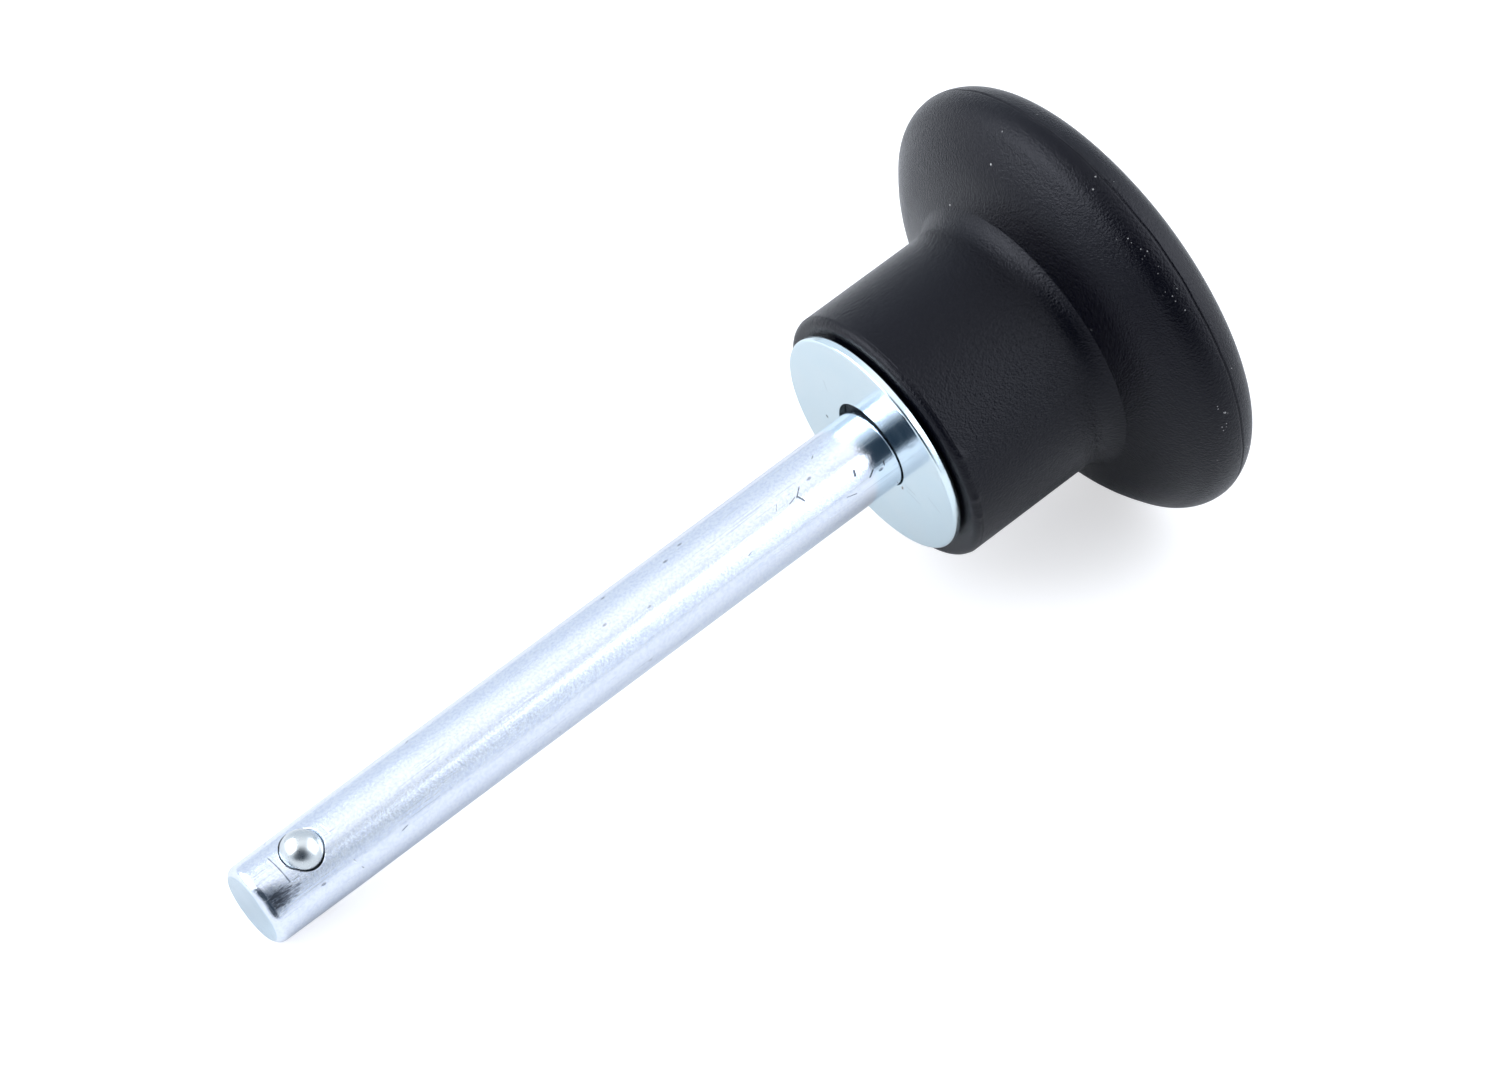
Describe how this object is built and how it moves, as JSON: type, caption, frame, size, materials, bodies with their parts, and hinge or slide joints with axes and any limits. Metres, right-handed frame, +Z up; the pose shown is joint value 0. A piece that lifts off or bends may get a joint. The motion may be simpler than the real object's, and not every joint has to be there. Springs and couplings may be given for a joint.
{
  "type": "detent locking pin",
  "caption": "Plated steel locking pin with a sprung detent ball near its tip, a washer and a black mushroom knob.",
  "frame": {"origin": "on the surface the pin lies on, under the middle of its length", "axes": "+Z up from the surface; +X towards the shank's tip, which is the lower end of the leaning shank; +Y across, towards the side the detent ball leans to"},
  "size_m": [0.128, 0.056, 0.0551],
  "materials": {
    "pin_shank": "bright zinc plate with a pale blue tint, lightly scratched",
    "detent_ball": "polished steel",
    "detent_spring": "plain spring wire",
    "washer": "bright zinc plate with a pale blue tint",
    "knob": "fine matt grain"
  },
  "bodies": {
    "pin": {"pin_shank": "pin_shank", "detent_spring": "detent_spring", "washer": "washer", "knob": "knob"},
    "ball": {"detent_ball": "detent_ball"}
  },
  "joints": [
    {"name": "ball_press", "type": "slide", "parent": "pin", "child": "ball", "axis": [-0.1887, -0.1977, -0.9619], "range_m": [0, 0.00165], "stiffness_N_per_m": 2700, "springref_m": -0.001, "deforming": ["detent_spring"]}
  ]
}
